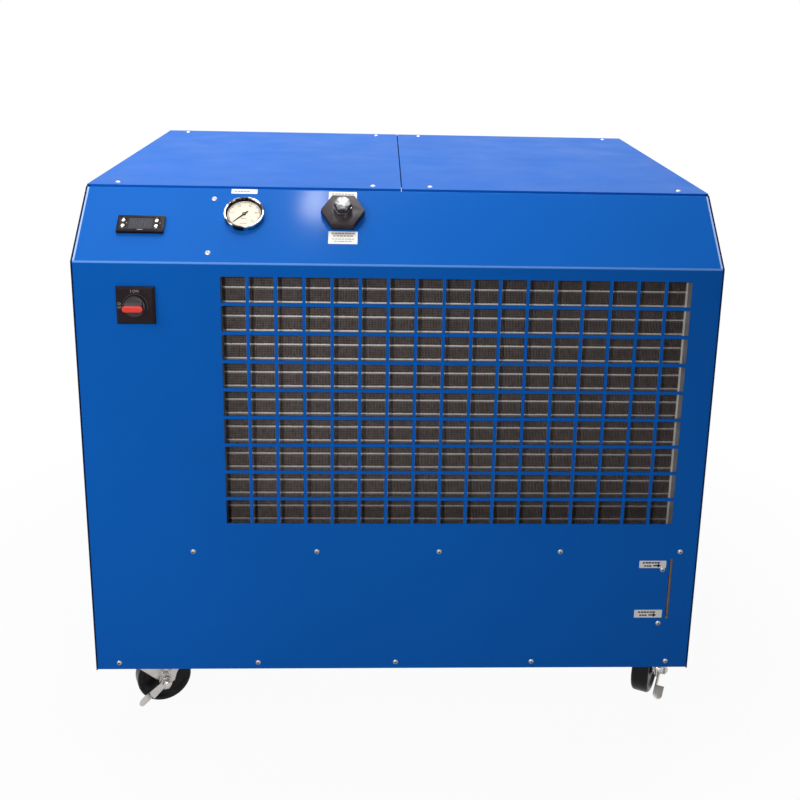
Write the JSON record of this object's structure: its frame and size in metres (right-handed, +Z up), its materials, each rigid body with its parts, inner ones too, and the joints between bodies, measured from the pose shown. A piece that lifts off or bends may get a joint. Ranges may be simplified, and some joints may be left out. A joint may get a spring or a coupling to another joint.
{
  "type": "industrial chiller",
  "caption": "Air-cooled liquid chiller in a sheet-steel cabinet on casters, with a sloping control face, air grilles, filler, gauge and level sight.",
  "frame": {"origin": "on the floor, below the middle of the whole box", "axes": "+Z up, -Y towards the control side, +X to the right of someone who faces the controls"},
  "size_m": [1.0732, 0.98, 0.9861],
  "materials": {
    "cabinet_paint": "gloss powder coat",
    "galvanised": "galvanised sheet",
    "zinc": "bright zinc plate",
    "fins": "thin fins, dusty",
    "copper": "drawn copper",
    "fan_metal": "satin",
    "black_paint": "satin",
    "grommet_rubber": "matt",
    "stainless": "satin",
    "tank_plastic": "moulded",
    "clear_tube": "clear",
    "pump_paint": "painted casting",
    "bronze": "machined",
    "drain_grip": "dipped vinyl",
    "filler_black": "moulded, satin",
    "gauge_chrome": "polished",
    "dial_face": "matt",
    "needle_black": "matt",
    "black_plastic": "satin",
    "knob_plastic": "fine grain",
    "switch_red": "satin",
    "button_metal": "polished",
    "device_grey": "moulded",
    "wheel_rubber": "moulded"
  },
  "bodies": {
    "cabinet": {"base_pan": "galvanised", "button_head_screws": "zinc", "cable_gland": "black_plastic", "caster_plates": "zinc", "compressor": "black_paint", "compressor_grommets": "grommet_rubber", "condenser_end_plates": "galvanised", "condenser_fins": "fins", "condenser_tubes": "copper", "control_box": "galvanised", "controller_case": "black_plastic", "coolant_lines": "grommet_rubber", "cross_head_screws": "zinc", "drain_valve": "bronze", "evaporator": "stainless", "fan_motor": "black_paint", "fan_shroud": "galvanised", "fill_bulkhead": "filler_black", "fill_bushing": "stainless", "front_panel": "cabinet_paint", "gauge_case": "gauge_chrome", "gauge_dial": "dial_face", "gauge_lens": "clear_tube", "inner_frame": "galvanised", "left_lid": "cabinet_paint", "left_side_panel": "cabinet_paint", "mid_shelf": "galvanised", "pump_casing": "pump_paint", "pump_motor": "black_paint", "rear_forks": "zinc", "rear_panel": "cabinet_paint", "receiver_and_drier": "black_paint", "refrigerant_lines": "copper", "reservoir_tank": "tank_plastic", "right_lid": "cabinet_paint", "right_side_panel": "cabinet_paint", "sight_tube": "clear_tube", "switch_plate": "black_plastic", "switchgear": "device_grey", "water_ports": "bronze"},
    "fan": {"fan_rotor": "fan_metal"},
    "pump": {"pump_rotor": "bronze"},
    "needle": {"gauge_needle": "needle_black"},
    "switch": {"switch_knob": "knob_plastic", "switch_grip": "switch_red"},
    "upper_left_key": {"upper_left_button": "button_metal"},
    "lower_left_key": {"lower_left_button": "button_metal"},
    "upper_right_key": {"upper_right_button": "button_metal"},
    "lower_right_key": {"lower_right_button": "button_metal"},
    "seal": {"fill_seal": "grommet_rubber"},
    "plug": {"fill_plug": "stainless"},
    "drain_lever": {"drain_handle": "drain_grip"},
    "left_fork": {"front_left_fork": "zinc"},
    "right_fork": {"front_right_fork": "zinc"},
    "left_wheel": {"front_left_wheel": "wheel_rubber"},
    "right_wheel": {"front_right_wheel": "wheel_rubber"},
    "back_left_wheel": {"rear_left_wheel": "wheel_rubber"},
    "back_right_wheel": {"rear_right_wheel": "wheel_rubber"},
    "left_brake": {"front_left_brake": "zinc"},
    "right_brake": {"front_right_brake": "zinc"}
  },
  "joints": [
    {"name": "fan_spin", "type": "hinge", "parent": "cabinet", "child": "fan", "pos_m": [0.09398, -0.259, 0.637], "axis": [0, 1, 0], "continuous": true},
    {"name": "pump_spin", "type": "hinge", "parent": "cabinet", "child": "pump", "pos_m": [0.06207, -0.339, 0.225], "axis": [1, 0, 0], "continuous": true},
    {"name": "needle_turn", "type": "hinge", "parent": "cabinet", "child": "needle", "pos_m": [-0.2637, -0.38397, 0.947], "axis": [0, 0.6336, -0.7737], "range_deg": [0, 270]},
    {"name": "switch_turn", "type": "hinge", "parent": "cabinet", "child": "switch", "pos_m": [-0.4325, -0.479, 0.8086], "axis": [0, 1, 0], "range_deg": [0, 90]},
    {"name": "upper_left_press", "type": "slide", "parent": "cabinet", "child": "upper_left_key", "axis": [0, 0.6336, -0.7737], "range_m": [0, 0.0008], "stiffness_N_per_m": 1500, "springref_m": -0.0004},
    {"name": "lower_left_press", "type": "slide", "parent": "cabinet", "child": "lower_left_key", "axis": [0, 0.6336, -0.7737], "range_m": [0, 0.0008], "stiffness_N_per_m": 1500, "springref_m": -0.0004},
    {"name": "upper_right_press", "type": "slide", "parent": "cabinet", "child": "upper_right_key", "axis": [0, 0.6336, -0.7737], "range_m": [0, 0.0008], "stiffness_N_per_m": 1500, "springref_m": -0.0004},
    {"name": "lower_right_press", "type": "slide", "parent": "cabinet", "child": "lower_right_key", "axis": [0, 0.6336, -0.7737], "range_m": [0, 0.0008], "stiffness_N_per_m": 1500, "springref_m": -0.0004},
    {"name": "plug_lift", "type": "slide", "parent": "cabinet", "child": "seal", "axis": [0, -0.6336, 0.7737], "range_m": [0, 0.01634]},
    {"name": "plug_turn", "type": "hinge", "parent": "seal", "child": "plug", "pos_m": [-0.099, -0.39043, 0.962], "axis": [0, -0.6336, 0.7737], "range_deg": [0, 3240]},
    {"name": "drain_turn", "type": "hinge", "parent": "cabinet", "child": "drain_lever", "pos_m": [0.38217, 0.462, 0.202], "axis": [0, 0, -1], "range_deg": [0, 90]},
    {"name": "left_swivel", "type": "hinge", "parent": "cabinet", "child": "left_fork", "pos_m": [-0.475, -0.365, 0.11], "axis": [0, 0, 1], "continuous": true},
    {"name": "right_swivel", "type": "hinge", "parent": "cabinet", "child": "right_fork", "pos_m": [0.475, -0.365, 0.11], "axis": [0, 0, 1], "continuous": true},
    {"name": "front_left_roll", "type": "hinge", "parent": "left_fork", "child": "left_wheel", "pos_m": [-0.43977, -0.35076, 0.05], "axis": [0.3746, -0.9272, 0], "continuous": true},
    {"name": "front_right_roll", "type": "hinge", "parent": "right_fork", "child": "right_wheel", "pos_m": [0.49225, -0.33114, 0.05], "axis": [0.891, -0.454, 0], "continuous": true},
    {"name": "rear_left_roll", "type": "hinge", "parent": "cabinet", "child": "back_left_wheel", "pos_m": [-0.475, 0.344, 0.05], "axis": [1, 0, 0], "continuous": true},
    {"name": "rear_right_roll", "type": "hinge", "parent": "cabinet", "child": "back_right_wheel", "pos_m": [0.475, 0.344, 0.05], "axis": [1, 0, 0], "continuous": true},
    {"name": "left_brake_lift", "type": "hinge", "parent": "left_fork", "child": "left_brake", "pos_m": [-0.43977, -0.35076, 0.05], "axis": [-0.3746, 0.9272, 0], "range_deg": [0, 50]},
    {"name": "right_brake_lift", "type": "hinge", "parent": "right_fork", "child": "right_brake", "pos_m": [0.49225, -0.33114, 0.05], "axis": [-0.891, 0.454, 0], "range_deg": [0, 50]}
  ],
  "couplings": [
    {"joint": "plug_lift", "follows": "plug_turn", "m_per_rad": 0.00028871}
  ]
}
